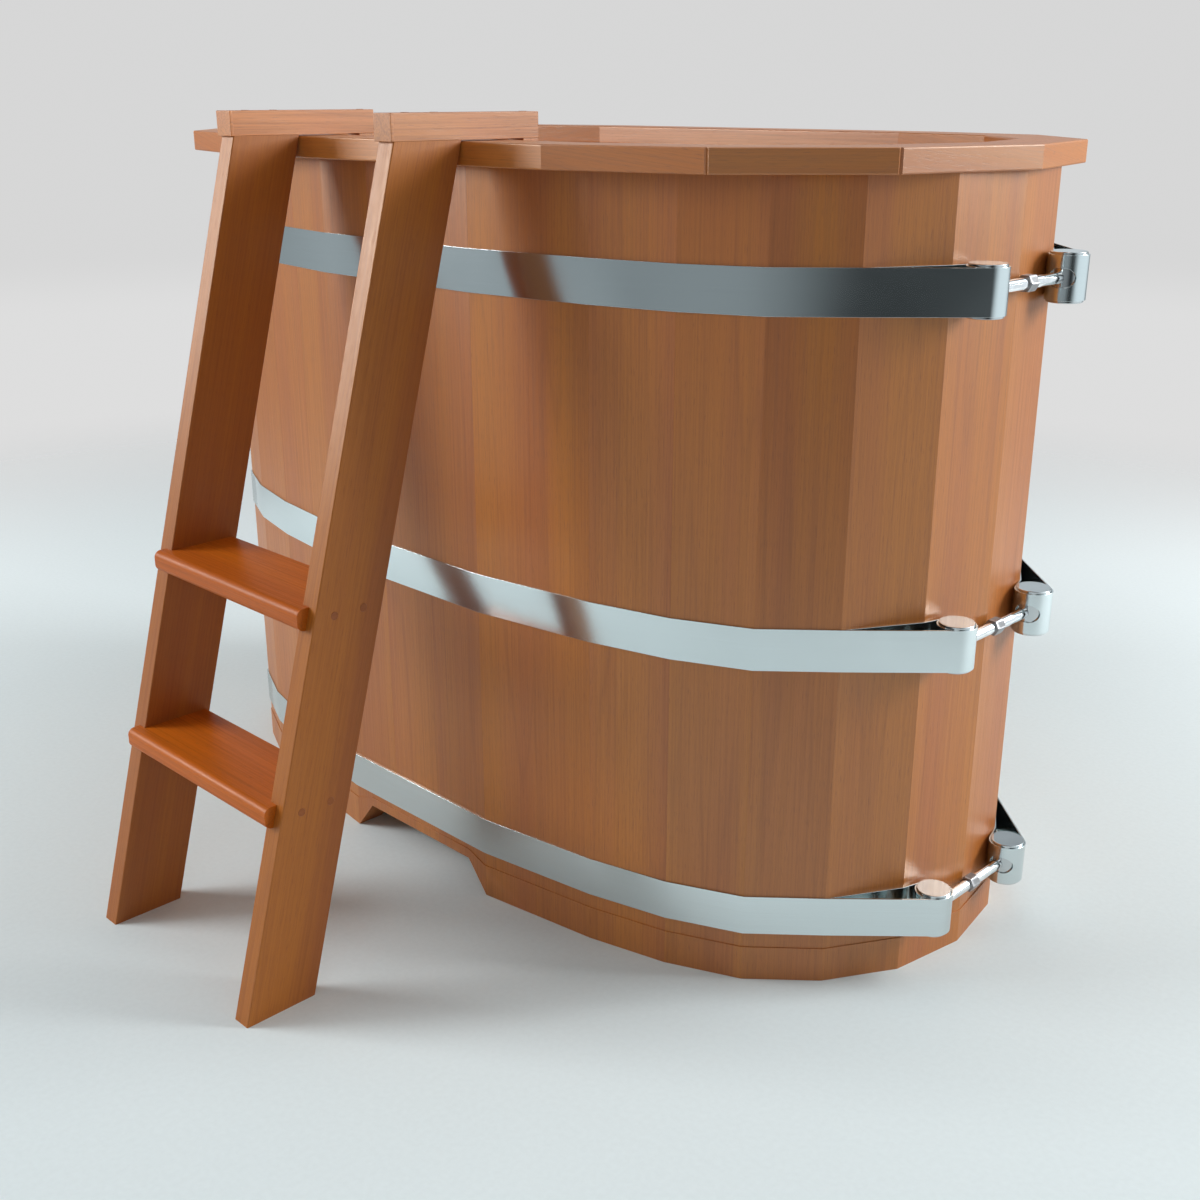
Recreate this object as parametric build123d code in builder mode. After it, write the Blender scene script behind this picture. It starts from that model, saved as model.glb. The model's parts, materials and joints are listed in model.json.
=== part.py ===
from build123d import *
import os
from math import asin, atan2, cos, hypot, radians, sin

# Oval plunge tub of upright staves held by three steel hoops, with a mitred
# rim, a floor set in a groove, a drain, and a two-tread ladder hooked on the
# rim. Millimetres, +Z up. Plan shapes are drawn about the middle of the tub:
# +X is the end where the hoops are clamped, -Y is the ladder's side. Every
# piece is then moved so that the origin is the middle of the footprint.

# Wall outline, one quarter from the clamped end to the flat side: how far each
# corner is set back from the tip, and how far out from the middle line
TUB_LENGTH = 1344
WALL_CORNERS = [(0, 0), (19, 109.5), (72, 199), (146, 266), (239, 307), (347, 334), (525, 359)]
WALL_THICK = 40
SHOULDER_STAVES = 2
SIDE_STAVES = 3

# Rim boards: their outer corners in the same way, from the rim's own tip
RIM_OVERHANG = 16
RIM_CORNERS = [(0, 0), (50, 197), (191, 336), (382, 387)]
RIM_WIDTH = 78
RIM_THICK = 27
RIM_TOP = 1000
RIM_ROUND = 2
RIM_VEE = 2.4
DOWEL_RADIUS = 5
DOWEL_IN_RIM = 14
DOWEL_IN_STAVE = 26
DOWEL_PLAY = 0.05
DOWEL_END_PLAY = 1

# Foot of the wall: a raised skirt with a cut-out under each long side
SKIRT_PROUD = 1.2
SKIRT_TOP = 46
CUTOUT_HALF_AT_FLOOR = 147
CUTOUT_HALF_AT_TOP = 111
CUTOUT_HEIGHT = 44
SKIRT_RISE_HALF = 143
SKIRT_RISE = 12

# Floor in its groove, and the battens under it
FLOOR_UNDERSIDE = 70
FLOOR_THICK = 32
FLOOR_BOARDS = 7
GROOVE_DEPTH = 10
GROOVE_PLAY = 0.2
BATTEN_WIDTH = 60
BATTEN_THICK = 20
BATTEN_X = 250
BATTEN_END_GAP = 6

# Hoops and their clamps: how many staves from the tip a hoop leaves bare, from
# which of the wall's corners its free strap runs to the loop, and how far the
# slot for the rod reaches outwards round the loop
HOOP_HEIGHT = 52
TOP_HOOP_DROP = 174
HOOP_BOTTOMS = {"bottom": 66, "middle": 418, "top": RIM_TOP - TOP_HOOP_DROP}
BARE_STAVES = 1
STRAP_CORNER = 2
HOOP_THICK = 2
LOOP_RADIUS = 23.5
LOOP_SLOT_RADIUS = 11
LOOP_SLOT_REACH = 8
PIN_SPACING = 177
PIN_PLAY = 0.2
PIN_PROUD = 3
PIN_CHAMFER = 1
ROD_RADIUS = 7
ROD_PLAY = 0.05
ROD_PAST_PIN_AXIS = 10
ROD_END_PLAY = 2
NUT_FLATS = 18
NUT_LENGTH = 17
NUT_TO_WALL = 1.6

# Drain in the middle of the floor
GASKET_RADIUS = 36
GASKET_THICK = 2
FLANGE_RADIUS = 38
FLANGE_THICK = 3
SHANK_RADIUS = 22
SHANK_PLAY = 0.3
THREAD_PLAY = 0.05
DRAIN_NUT_FLATS = 62
DRAIN_NUT_THICK = 10
TAIL_RADIUS = 20
TAIL_LENGTH = 32
DRAIN_BORE_RADIUS = 16
SEAT_RADIUS = 19
SEAT_DEPTH = 12
PLUG_PLAY = 0.3
PLUG_CAP_RADIUS = 26
PLUG_CAP_THICK = 4
PLUG_STEM_RADIUS = 4
PLUG_STEM_HEIGHT = 10
PLUG_KNOB_RADIUS = 11
PLUG_KNOB_THICK = 8

# Ladder
LADDER_WIDTH = 350
STRINGER_THICK = 27.5
STRINGER_DEPTH = 96.8
STRINGER_ROUND = 1.5
LADDER_LEAN = 0.2768
LADDER_TO_RIM = 0.3
TREAD_TOPS = {"lower": 265, "upper": 495}
TREAD_THICK = 27
TREAD_NOSE = 14
TREAD_ROUND = 9
NOSE_LAP = 13.5
ARM_OVER_RIM = 1.5
ARM_HEIGHT = 30
ARM_END = 119
ARM_ROUND = 1
CAP_THICK = 4
CAP_PROUD = 1.8
TOOTH_THICK = 25
TOOTH_DROP = 55

# Wood screws of the ladder and the plugs over their heads
SCREW_RADIUS = 2.25
SCREW_HEAD_RADIUS = 4.5
SCREW_HEAD_HEIGHT = 3
SCREW_LENGTH = 50
SCREW_PLAY = 0.05
SCREW_SPACING = 41
PLUG_RADIUS = 5
PLUG_DEPTH = 6
PLUG_PROUD = 0.4

# How far from parallel an edge may be and still count as running along a board
PARALLEL_ERROR = 0.001

WALL_TOP = RIM_TOP - RIM_THICK
FLOOR_TOP = FLOOR_UNDERSIDE + FLOOR_THICK
LOOP_BORE = LOOP_RADIUS - HOOP_THICK
PIN_Y = PIN_SPACING / 2
NUT_CORNER_RADIUS = NUT_FLATS / 2 / cos(radians(30))
CLAMP_X = TUB_LENGTH / 2 + NUT_CORNER_RADIUS + NUT_TO_WALL

RIM_TIP = TUB_LENGTH / 2 + RIM_OVERHANG
RIM_SIDE = RIM_CORNERS[-1][1]
STRINGER_X = LADDER_WIDTH / 2 - STRINGER_THICK
STRINGER_TOP = RIM_TOP + ARM_OVER_RIM
ARM_FRONT = -RIM_SIDE - LADDER_TO_RIM - STRINGER_DEPTH
LADDER_FRONT = ARM_FRONT - LADDER_LEAN * RIM_TOP
ARM_BACK = ARM_END - RIM_SIDE
ARM_TOP = STRINGER_TOP + ARM_HEIGHT
SIDES = {"left": -1, "right": 1}


def whole_ring(tip, corners):
    """All corners of an outline, anticlockwise from the clamped end, from those of one quarter."""
    quarter = [(tip - setback, y) for setback, y in corners]
    upper = quarter + [(-x, y) for x, y in reversed(quarter)]
    return upper + [(x, -y) for x, y in reversed(upper[1:-1])]


def facing(start, end):
    """Unit vector out of an anticlockwise outline, square to one of its edges."""
    along_x = end[0] - start[0]
    along_y = end[1] - start[1]
    length = hypot(along_x, along_y)
    return along_y / length, -along_x / length


def mitred(corner, face_a, face_b, distance):
    """Where two faces meet after both have moved out by one distance."""
    share = distance / (1 + face_a[0] * face_b[0] + face_a[1] * face_b[1])
    return corner[0] + share * (face_a[0] + face_b[0]), corner[1] + share * (face_a[1] + face_b[1])


def grown(ring, distance):
    """The outline moved outwards by a distance, or inwards by a negative one."""
    count = len(ring)
    moved = []
    for i, corner in enumerate(ring):
        before = facing(ring[i - 1], corner)
        after = facing(corner, ring[(i + 1) % count])
        moved.append(mitred(corner, before, after, distance))
    return moved


def divided(ring, pieces):
    """The same outline with each edge cut into its number of equal pieces."""
    corners = []
    for i, (x, y) in enumerate(ring):
        next_x, next_y = ring[(i + 1) % len(ring)]
        for k in range(pieces[i]):
            share = k / pieces[i]
            corners.append((x + share * (next_x - x), y + share * (next_y - y)))
    return corners


def running(edges, direction):
    """Those of the edges that run in a direction."""
    unit = direction.normalized()
    return edges.filter_by(lambda edge: (edge % 0.5).cross(unit).length < PARALLEL_ERROR)


def trapezoid(half_below, half_above, z_below, z_above):
    return [(-half_below, z_below), (half_below, z_below), (half_above, z_above), (-half_above, z_above)]


pieces = {}

wall_ring = whole_ring(TUB_LENGTH / 2, WALL_CORNERS)
end_pieces = [1 for facet in WALL_CORNERS[1:-1]]
side_pieces = [SHOULDER_STAVES, SIDE_STAVES, SHOULDER_STAVES]
half_pieces = end_pieces + side_pieces + end_pieces
stave_ring = divided(wall_ring, half_pieces * 2)
stave_foot = grown(stave_ring, SKIRT_PROUD)
stave_middle = grown(stave_ring, -WALL_THICK / 2)
stave_inside = grown(stave_ring, -WALL_THICK)
stave_count = len(stave_ring)

# Dowels that tie the rim to the wall, one over the middle of each stave
dowel_spots = []
for i, (x, y) in enumerate(stave_middle):
    next_x, next_y = stave_middle[(i + 1) % stave_count]
    dowel_spots.append(((x + next_x) / 2, (y + next_y) / 2))


def dowels(radius, below, above):
    """Upright cylinders in every dowel place, reaching below and above the top of the wall."""
    with BuildPart() as group:
        with Locations([(x, y, WALL_TOP - below) for x, y in dowel_spots]):
            Cylinder(radius, below + above, align=(Align.CENTER, Align.CENTER, Align.MIN))
    return group.part


pieces["rim_dowels"] = dowels(DOWEL_RADIUS, DOWEL_IN_STAVE, DOWEL_IN_RIM)
dowel_holes = dowels(
    DOWEL_RADIUS + DOWEL_PLAY,
    DOWEL_IN_STAVE + DOWEL_END_PLAY,
    DOWEL_IN_RIM + DOWEL_END_PLAY,
)

# What is planed off the wall above the skirt, which leaves the skirt proud
with BuildPart() as above_skirt:
    with BuildSketch(Plane.XY.offset(SKIRT_TOP)):
        with BuildLine():
            Polyline(grown(wall_ring, 4 * SKIRT_PROUD), close=True)
        make_face()
        with BuildLine():
            Polyline(wall_ring, close=True)
        make_face(mode=Mode.SUBTRACT)
    extrude(amount=WALL_TOP - SKIRT_TOP)
    with BuildSketch(Plane.XZ):
        with BuildLine():
            rise = trapezoid(SKIRT_RISE_HALF, CUTOUT_HALF_AT_TOP, SKIRT_TOP, SKIRT_TOP + SKIRT_RISE)
            Polyline(rise, close=True)
        make_face()
    extrude(amount=2 * RIM_SIDE, both=True, mode=Mode.SUBTRACT)

# The cut-outs in the foot, through both long sides
with BuildPart() as cutout:
    with BuildSketch(Plane.XZ):
        with BuildLine():
            Polyline(trapezoid(CUTOUT_HALF_AT_FLOOR, CUTOUT_HALF_AT_TOP, 0, CUTOUT_HEIGHT), close=True)
        make_face()
    extrude(amount=2 * RIM_SIDE, both=True)

# The space the floor takes, its edge let into the wall
with BuildPart() as groove:
    with BuildSketch(Plane.XY.offset(FLOOR_UNDERSIDE)):
        with BuildLine():
            Polyline(grown(wall_ring, GROOVE_DEPTH - WALL_THICK), close=True)
        make_face()
    extrude(amount=FLOOR_THICK)


def numbered(quarter, numbers):
    return [f"stave_{quarter}_{number}" for number in numbers]


# End staves are numbered from each tip; the staves of a long side share a node
from_tip = range(1, len(end_pieces) + 1)
stave_names = (
    numbered("clamp_back", from_tip)
    + ["side_staves_back"] * sum(side_pieces)
    + numbered("plain_back", reversed(from_tip))
    + numbered("plain_front", from_tip)
    + ["side_staves_front"] * sum(side_pieces)
    + numbered("clamp_front", reversed(from_tip))
)
staves = {}
for i, name in enumerate(stave_names):
    j = (i + 1) % stave_count
    with BuildPart() as stave:
        with BuildSketch():
            with BuildLine():
                Polyline(stave_foot[i], stave_foot[j], stave_inside[j], stave_inside[i], close=True)
            make_face()
        extrude(amount=WALL_TOP)
        add(above_skirt.part, mode=Mode.SUBTRACT)
        add(cutout.part, mode=Mode.SUBTRACT)
        add(groove.part, mode=Mode.SUBTRACT)
        add(dowel_holes, mode=Mode.SUBTRACT)
    staves.setdefault(name, []).append(stave.part.solid())
for name, solids in staves.items():
    pieces[name] = Compound(solids)

# Rim boards, mitred at the corners, with a small vee at the joints near the ends
rim_ring = whole_ring(RIM_TIP, RIM_CORNERS)
rim_inside = grown(rim_ring, -RIM_WIDTH)
rim_names = (
    [f"rim_clamp_back_{number}" for number in (1, 2, 3)]
    + ["rim_back"]
    + [f"rim_plain_back_{number}" for number in (3, 2, 1)]
    + [f"rim_plain_front_{number}" for number in (1, 2, 3)]
    + ["rim_front"]
    + [f"rim_clamp_front_{number}" for number in (3, 2, 1)]
)
vee_reach = [y for setback, y in RIM_CORNERS[1:3]]
vee_corners = [corner for corner in rim_ring if abs(corner[1]) in vee_reach]
for i, name in enumerate(rim_names):
    j = (i + 1) % len(rim_ring)
    run = Vector(*rim_ring[j]) - Vector(*rim_ring[i])
    with BuildPart() as board:
        with BuildSketch(Plane.XY.offset(WALL_TOP)) as plan:
            with BuildLine():
                Polyline(rim_ring[i], rim_ring[j], rim_inside[j], rim_inside[i], close=True)
            make_face()
            for corner in (rim_ring[i], rim_ring[j]):
                if corner in vee_corners:
                    chamfer(plan.vertices().sort_by_distance(Vector(*corner))[0], RIM_VEE)
        extrude(amount=RIM_THICK)
        fillet(running(board.edges(), run), RIM_ROUND)
        add(dowel_holes, mode=Mode.SUBTRACT)
    pieces[name] = board.part

# Floor boards, side by side along the tub, their ends and edges in the groove
floor_ring = grown(wall_ring, GROOVE_DEPTH - WALL_THICK - GROOVE_PLAY)
floor_half = max(y for x, y in floor_ring)
board_width = 2 * floor_half / FLOOR_BOARDS
floor_boards = []
for k in range(FLOOR_BOARDS):
    with BuildPart() as floor_board:
        with BuildSketch(Plane.XY.offset(FLOOR_UNDERSIDE)):
            with BuildLine():
                Polyline(floor_ring, close=True)
            make_face()
            with Locations((0, -floor_half + (k + 0.5) * board_width)):
                Rectangle(4 * floor_half, board_width, mode=Mode.INTERSECT)
            Circle(SHANK_RADIUS + SHANK_PLAY, mode=Mode.SUBTRACT)
        extrude(amount=FLOOR_THICK)
    floor_boards.append(floor_board.part.solid())
pieces["floor_boards"] = Compound(floor_boards)

# Battens across the underside of the floor
inside_ring = grown(wall_ring, -WALL_THICK - BATTEN_END_GAP)
battens = []
for side in SIDES.values():
    with BuildPart() as batten:
        with BuildSketch(Plane.XY.offset(FLOOR_UNDERSIDE)):
            with BuildLine():
                Polyline(inside_ring, close=True)
            make_face()
            with Locations((side * BATTEN_X, 0)):
                Rectangle(BATTEN_WIDTH, 4 * floor_half, mode=Mode.INTERSECT)
        extrude(amount=-BATTEN_THICK)
    battens.append(batten.part.solid())
pieces["floor_battens"] = Compound(battens)


def strip_to_loop(number, side, touching, far):
    """How a strip runs from a corner of the wall to one side of the loop: its outer bend, its two ends."""
    corner = wall_ring[number]
    reach_x = CLAMP_X - corner[0]
    reach_y = PIN_Y - corner[1]
    angle = atan2(reach_y, reach_x) + side * asin(touching / hypot(reach_x, reach_y))
    face = (-sin(angle), cos(angle))
    bend = mitred(corner, face, facing(corner, wall_ring[number + 1]), HOOP_THICK)
    ends = [(CLAMP_X + side * r * face[0], PIN_Y + side * r * face[1]) for r in (touching, far)]
    return bend, ends[0], ends[1]


# Plan of a hoop: a band round the wall, its end led off to a loop round each pin
# and brought back outside itself as a free strap that ends on the band
wrapped = slice(BARE_STAVES, len(wall_ring) + 1 - BARE_STAVES)
band_inside = wall_ring[wrapped]
band_outside = grown(wall_ring, HOOP_THICK)[wrapped]
leg_bend, leg_inside, leg_outside = strip_to_loop(BARE_STAVES, -1, LOOP_RADIUS, LOOP_BORE)
band_outline = (
    [leg_outside, leg_bend]
    + band_outside[1:-1]
    + [(x, -y) for x, y in (leg_bend, leg_outside, leg_inside)]
    + list(reversed(band_inside))
    + [leg_inside]
)
strap_bend, strap_inside, strap_outside = strip_to_loop(STRAP_CORNER, 1, LOOP_BORE, LOOP_RADIUS)
strap_outline = [strap_outside, strap_bend, wall_ring[STRAP_CORNER], strap_inside]
pin_places = [(CLAMP_X, side * PIN_Y) for side in SIDES.values()]

clamp_pins = []
for level, bottom in HOOP_BOTTOMS.items():
    rod_axis = Plane(origin=(CLAMP_X, 0, bottom + HOOP_HEIGHT / 2), x_dir=(1, 0, 0), z_dir=(0, 1, 0))

    with BuildPart() as hoop:
        with BuildSketch(Plane.XY.offset(bottom)):
            with BuildLine():
                Polyline(band_outline, close=True)
            make_face()
            for side in SIDES.values():
                with BuildLine():
                    Polyline([(x, side * y) for x, y in strap_outline], close=True)
                make_face()
            with Locations(pin_places):
                Circle(LOOP_RADIUS)
                Circle(LOOP_BORE, mode=Mode.SUBTRACT)
        extrude(amount=HOOP_HEIGHT)
        with BuildSketch(rod_axis):
            with Locations((LOOP_SLOT_REACH / 2, 0)):
                SlotCenterToCenter(LOOP_SLOT_REACH, 2 * LOOP_SLOT_RADIUS)
        extrude(amount=PIN_Y, both=True, mode=Mode.SUBTRACT)
    pieces[f"hoop_{level}"] = hoop.part

    for side in SIDES.values():
        with BuildPart() as pin:
            with BuildSketch(Plane.XY.offset(bottom - PIN_PROUD)):
                with Locations((CLAMP_X, side * PIN_Y)):
                    Circle(LOOP_BORE - PIN_PLAY)
            extrude(amount=HOOP_HEIGHT + 2 * PIN_PROUD)
            chamfer(pin.edges().filter_by(GeomType.CIRCLE), PIN_CHAMFER)
            with BuildSketch(rod_axis):
                Circle(ROD_RADIUS + ROD_PLAY)
            extrude(amount=PIN_Y + ROD_PAST_PIN_AXIS + ROD_END_PLAY, both=True, mode=Mode.SUBTRACT)
        clamp_pins.append(pin.part.solid())

    with BuildPart() as rod:
        with BuildSketch(rod_axis):
            Circle(ROD_RADIUS)
        extrude(amount=PIN_Y + ROD_PAST_PIN_AXIS, both=True)
        with BuildSketch(rod_axis):
            RegularPolygon(radius=NUT_FLATS / 2, side_count=6, major_radius=False)
        extrude(amount=NUT_LENGTH / 2, both=True)
    pieces[f"tension_rod_{level}"] = rod.part
pieces["clamp_pins"] = Compound(clamp_pins)

# Drain: a flanged outlet through the floor, gasket above, nut below, tail for a hose
flange_underside = FLOOR_TOP + GASKET_THICK
flange_top = flange_underside + FLANGE_THICK
nut_underside = FLOOR_UNDERSIDE - DRAIN_NUT_THICK
tail_end = nut_underside - TAIL_LENGTH
with BuildPart() as drain_outlet:
    with BuildSketch(Plane.XZ):
        with BuildLine():
            Polyline(
                (DRAIN_BORE_RADIUS, tail_end),
                (TAIL_RADIUS, tail_end),
                (TAIL_RADIUS, nut_underside),
                (SHANK_RADIUS, nut_underside),
                (SHANK_RADIUS, flange_underside),
                (FLANGE_RADIUS, flange_underside),
                (FLANGE_RADIUS, flange_top),
                (SEAT_RADIUS, flange_top),
                (DRAIN_BORE_RADIUS, flange_top - SEAT_DEPTH),
                close=True,
            )
        make_face()
    revolve(axis=Axis.Z)
pieces["drain_outlet"] = drain_outlet.part

with BuildPart() as drain_gasket:
    with BuildSketch(Plane.XY.offset(FLOOR_TOP)):
        Circle(GASKET_RADIUS)
        Circle(SHANK_RADIUS + SHANK_PLAY, mode=Mode.SUBTRACT)
    extrude(amount=GASKET_THICK)
pieces["drain_gasket"] = drain_gasket.part

with BuildPart() as drain_nut:
    with BuildSketch(Plane.XY.offset(nut_underside)):
        RegularPolygon(radius=DRAIN_NUT_FLATS / 2, side_count=6, major_radius=False)
        Circle(SHANK_RADIUS + THREAD_PLAY, mode=Mode.SUBTRACT)
    extrude(amount=DRAIN_NUT_THICK)
pieces["drain_nut"] = drain_nut.part

cap_top = flange_top + PLUG_CAP_THICK
stem_top = cap_top + PLUG_STEM_HEIGHT
knob_top = stem_top + PLUG_KNOB_THICK
with BuildPart() as drain_plug:
    with BuildSketch(Plane.XZ):
        with BuildLine():
            Polyline(
                (0, flange_top - SEAT_DEPTH),
                (DRAIN_BORE_RADIUS - PLUG_PLAY, flange_top - SEAT_DEPTH),
                (SEAT_RADIUS - PLUG_PLAY, flange_top),
                (PLUG_CAP_RADIUS, flange_top),
                (PLUG_CAP_RADIUS, cap_top),
                (PLUG_STEM_RADIUS, cap_top),
                (PLUG_STEM_RADIUS, stem_top),
                (PLUG_KNOB_RADIUS, stem_top),
                (PLUG_KNOB_RADIUS, knob_top),
                (0, knob_top),
                close=True,
            )
        make_face()
    revolve(axis=Axis.Z)
pieces["drain_plug"] = drain_plug.part


def lean_y(z):
    """The stringers' front face at a height."""
    return LADDER_FRONT + LADDER_LEAN * z


# Screws of the ladder: where each head's plug sits, and which way the screw runs
screw_planes = []
for top in TREAD_TOPS.values():
    middle_z = top - TREAD_THICK / 2
    middle_y = lean_y(middle_z) + STRINGER_DEPTH / 2
    for side in SIDES.values():
        for step in (-0.5, 0.5):
            start = (side * LADDER_WIDTH / 2, middle_y + step * SCREW_SPACING, middle_z)
            screw_planes.append(Plane(origin=start, x_dir=(0, 0, 1), z_dir=(-side, 0, 0)))
arm_middle_x = STRINGER_X + STRINGER_THICK / 2
arm_screw_middle = ARM_FRONT + STRINGER_DEPTH / 2
tooth_middle = ARM_BACK - TOOTH_THICK / 2
for side in SIDES.values():
    for y in (arm_screw_middle - SCREW_SPACING / 2, arm_screw_middle + SCREW_SPACING / 2, tooth_middle):
        screw_planes.append(Plane(origin=(side * arm_middle_x, y, ARM_TOP), x_dir=(1, 0, 0), z_dir=(0, 0, -1)))


def screw_set(play, plug_depth, plug_proud):
    """Screws under their plugs in every place; play widens them all round into their holes."""
    shank = SCREW_RADIUS + play
    head = SCREW_HEAD_RADIUS + play
    neck = PLUG_DEPTH + SCREW_HEAD_HEIGHT
    with BuildPart() as screw:
        with BuildSketch(Plane.XZ):
            with BuildLine():
                Polyline(
                    (0, PLUG_DEPTH),
                    (head, PLUG_DEPTH),
                    (shank, neck),
                    (shank, PLUG_DEPTH + SCREW_LENGTH + play),
                    (0, PLUG_DEPTH + SCREW_LENGTH + play),
                    close=True,
                )
            make_face()
        revolve(axis=Axis.Z)
    with BuildPart() as plug:
        with BuildSketch(Plane.XY.offset(-plug_proud)):
            Circle(PLUG_RADIUS + play)
        extrude(amount=plug_depth + plug_proud)
    with BuildPart() as screws:
        with Locations(screw_planes):
            add(screw.part)
    with BuildPart() as plugs:
        with Locations(screw_planes):
            add(plug.part)
    return screws.part, plugs.part


ladder_screws, ladder_plugs = screw_set(0, PLUG_DEPTH, PLUG_PROUD)
screw_holes, plug_holes = screw_set(SCREW_PLAY, PLUG_DEPTH, PLUG_RADIUS)
pieces["ladder_screws"] = ladder_screws
pieces["ladder_plugs"] = ladder_plugs


stringers = {}
arms = {}
teeth = []
for name, side in SIDES.items():
    inner_x = side * STRINGER_X
    with BuildPart() as stringer:
        with BuildSketch(Plane.YZ.offset(inner_x)):
            with BuildLine():
                Polyline(
                    (lean_y(0), 0),
                    (lean_y(0) + STRINGER_DEPTH, 0),
                    (lean_y(STRINGER_TOP) + STRINGER_DEPTH, STRINGER_TOP),
                    (lean_y(STRINGER_TOP), STRINGER_TOP),
                    close=True,
                )
            make_face()
        extrude(amount=side * STRINGER_THICK)
        fillet(running(stringer.edges(), Vector(0, LADDER_LEAN, 1)), STRINGER_ROUND)
    stringers[name] = stringer.part

    with BuildPart() as arm:
        with BuildSketch(Plane.XY.offset(STRINGER_TOP)):
            with Locations((side * arm_middle_x, ARM_FRONT)):
                Rectangle(STRINGER_THICK, ARM_BACK - ARM_FRONT, align=(Align.CENTER, Align.MIN))
                Rectangle(STRINGER_THICK + 2 * CAP_PROUD, CAP_THICK, align=(Align.CENTER, Align.MAX))
        extrude(amount=ARM_HEIGHT)
        fillet(arm.faces().sort_by(Axis.Z)[-1].edges(), ARM_ROUND)
        add(screw_holes, mode=Mode.SUBTRACT)
        add(plug_holes, mode=Mode.SUBTRACT)
    arms[name] = arm.part

    with BuildPart() as tooth:
        with BuildSketch(Plane.XY.offset(STRINGER_TOP)):
            with Locations((side * arm_middle_x, tooth_middle)):
                Rectangle(STRINGER_THICK, TOOTH_THICK)
        extrude(amount=-TOOTH_DROP - ARM_OVER_RIM)
        chamfer(tooth.faces().sort_by(Axis.Z)[0].edges(), STRINGER_ROUND)
        add(screw_holes, mode=Mode.SUBTRACT)
    teeth.append(tooth.part.solid())

# Treads between the stringers, the nose lapping half of each stringer's front edge
for name, top in TREAD_TOPS.items():
    underside = top - TREAD_THICK
    back = lean_y(underside) + STRINGER_DEPTH
    nose = lean_y(top - TREAD_THICK / 2) - TREAD_NOSE
    with BuildPart() as tread:
        with BuildSketch(Plane.XY.offset(underside)):
            with Locations((0, back)):
                Rectangle(2 * STRINGER_X, back - nose, align=(Align.CENTER, Align.MAX))
            with Locations((0, nose)):
                Rectangle(2 * (STRINGER_X + NOSE_LAP), 2 * TREAD_NOSE, align=(Align.CENTER, Align.MIN))
        extrude(amount=TREAD_THICK)
        front_edges = tread.faces().sort_by(Axis.Y)[0].edges().filter_by(Axis.X)
        fillet(front_edges, TREAD_ROUND)
        for stringer_part in stringers.values():
            add(stringer_part, mode=Mode.SUBTRACT)
        add(screw_holes, mode=Mode.SUBTRACT)
    pieces[f"ladder_tread_{name}"] = tread.part

for name in SIDES:
    with BuildPart() as drilled:
        add(stringers[name])
        add(screw_holes, mode=Mode.SUBTRACT)
        add(plug_holes, mode=Mode.SUBTRACT)
    pieces[f"ladder_stringer_{name}"] = drilled.part
    pieces[f"hook_arm_{name}"] = arms[name]
pieces["hook_teeth"] = Compound(teeth)

# The frame's origin is the middle of the whole footprint, on the ground
footprint_x = (CLAMP_X + LOOP_RADIUS - RIM_TIP) / 2
footprint_y = (RIM_SIDE + LADDER_FRONT) / 2
print("footprint middle from the tub's middle:", footprint_x, footprint_y)
print("clamp axis from the tub's middle:", CLAMP_X, "tail end:", tail_end, "knob top:", knob_top)

os.makedirs("parts", exist_ok=True)
for name, piece in pieces.items():
    placed = piece.moved(Location((-footprint_x, -footprint_y, 0)))
    placed.label = name
    export_step(placed, f"parts/{name}.step")
print(len(pieces), "nodes")
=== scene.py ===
import json
import math
import random

import bmesh
import bpy
from mathutils import Matrix, Vector


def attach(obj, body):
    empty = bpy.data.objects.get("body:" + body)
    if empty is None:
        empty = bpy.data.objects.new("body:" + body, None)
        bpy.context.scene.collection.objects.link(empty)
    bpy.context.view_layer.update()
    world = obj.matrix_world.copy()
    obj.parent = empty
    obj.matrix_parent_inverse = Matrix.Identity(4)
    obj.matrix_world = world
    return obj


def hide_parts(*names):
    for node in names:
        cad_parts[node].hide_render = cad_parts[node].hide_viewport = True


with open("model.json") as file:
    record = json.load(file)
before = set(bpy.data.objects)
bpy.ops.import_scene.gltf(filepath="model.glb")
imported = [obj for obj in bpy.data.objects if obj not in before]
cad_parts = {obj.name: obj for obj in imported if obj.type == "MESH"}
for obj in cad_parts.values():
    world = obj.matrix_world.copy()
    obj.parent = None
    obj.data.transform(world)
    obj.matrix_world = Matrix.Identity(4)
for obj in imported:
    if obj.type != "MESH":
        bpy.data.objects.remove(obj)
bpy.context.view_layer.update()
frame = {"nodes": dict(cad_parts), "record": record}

# The looks of an oval plunge tub of oiled hardwood staves, steel hoops and a
# hooked-on ladder. Metres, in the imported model's frame: +X is the end with the
# hoop clamps, -Y is the ladder's side.

UP = Vector((0, 0, 1))
TUB_MIDDLE = Vector((-0.009746, 0.18695, 0))

# The wall's outline along one long side, from its middle outwards: the places
# of the joints between the side staves on the outer face and on the inner face
SIDE_JOINTS = [
    ((0.049, 0.359), (0.049, 0.319)),
    ((0.147, 0.359), (0.1442, 0.319)),
    ((0.236, 0.3465), (0.2304, 0.3069)),
]
FLOOR_HALF_WIDTH = 0.3288
FLOOR_BOARDS = 7

# Clamp sets
CLAMP_X = 0.683992 + TUB_MIDDLE.x
PIN_SPACING = 0.177
HOOP_MIDDLES = {"bottom": 0.092, "middle": 0.444, "top": 0.852}


def mesh_object(name, mesh, body, material, replaced):
    """A finished piece: rides on its body and stands for its CAD nodes, which it hides."""
    piece = bpy.data.objects.new(name, mesh)
    bpy.context.scene.collection.objects.link(piece)
    mesh.materials.clear()
    mesh.materials.append(material)
    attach(piece, body)
    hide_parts(*replaced)
    return piece


# Materials


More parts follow.
